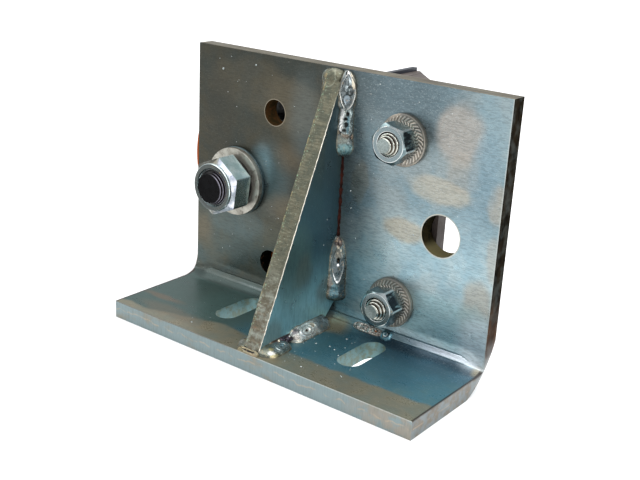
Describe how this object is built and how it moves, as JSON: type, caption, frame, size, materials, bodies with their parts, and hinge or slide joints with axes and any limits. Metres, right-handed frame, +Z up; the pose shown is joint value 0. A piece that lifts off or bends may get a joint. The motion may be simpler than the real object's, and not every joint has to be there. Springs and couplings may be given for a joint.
{
  "type": "gate guide wheel bracket",
  "caption": "Bent zinc-plated steel bracket with a gusset, a polyurethane guide wheel on a through axle and a fixed guide shoe, for a rail that runs between wheel and shoe.",
  "frame": {"origin": "middle of the base's slot pattern, on the base's underside", "axes": "+X along the bracket's width, away from the wheel; +Y from the bracket's front to the wheel side; +Z up, out of the base"},
  "size_m": [0.2305, 0.1535, 0.15],
  "materials": {
    "zinc_plate": "zinc electroplate over hot rolled plate, blue and straw tints",
    "zinc_gusset": "zinc electroplate over a sawn edge",
    "weld_bead": "plated weld metal with ripples and craters",
    "black_steel": "black oxide, oiled",
    "bright_zinc": "bright zinc plating",
    "turned_steel": "turned",
    "insert_nylon": "dark nylon",
    "washer_steel": "dull plating",
    "core_iron": "black paint over cast iron, machined hub faces",
    "tyre_polyurethane": "cast polyurethane, satin",
    "bearing_steel": "ground",
    "cage_steel": "pressed",
    "seal_rubber": "moulded nitrile",
    "shoe_steel": "plated hot rolled steel, brown-grey",
    "liner_plastic": "black polyethylene"
  },
  "bodies": {
    "bracket": {"bracket_plate": "zinc_plate", "gusset_plate": "zinc_gusset", "gusset_welds": "weld_bead", "bend_weld": "weld_bead", "axle_bolt": "black_steel", "axle_locknut": "bright_zinc", "locknut_insert": "insert_nylon", "axle_flat_washer": "washer_steel", "axle_thin_washer": "washer_steel", "near_spacer": "turned_steel", "far_spacer": "turned_steel", "head_washer": "black_steel", "bearing_inner_rings": "bearing_steel", "bearing_spacer": "turned_steel", "shoe_flange": "shoe_steel", "shoe_leg": "shoe_steel", "shoe_ribs": "shoe_steel", "shoe_welds": "weld_bead", "wear_strip": "liner_plastic", "wear_strip_screws": "bright_zinc", "shoe_bolts": "bright_zinc", "contact_washers": "washer_steel", "shoe_nuts": "bright_zinc", "shoe_head_washers": "washer_steel"},
    "wheel": {"wheel_core": "core_iron", "wheel_tyre": "tyre_polyurethane", "bearing_outer_rings": "bearing_steel", "bearing_shields": "seal_rubber", "retaining_rings": "black_steel"},
    "ball_sets": {"bearing_balls": "bearing_steel", "bearing_cages": "cage_steel"}
  },
  "joints": [
    {"name": "wheel_spin", "type": "hinge", "parent": "bracket", "child": "wheel", "pos_m": [-0.068, 0.0725, 0.075], "axis": [0, 1, 0], "continuous": true},
    {"name": "ball_orbit", "type": "hinge", "parent": "bracket", "child": "ball_sets", "pos_m": [-0.068, 0.0725, 0.075], "axis": [0, 1, 0], "continuous": true}
  ],
  "couplings": [
    {"joint": "ball_orbit", "follows": "wheel_spin", "ratio": 0.6185}
  ]
}
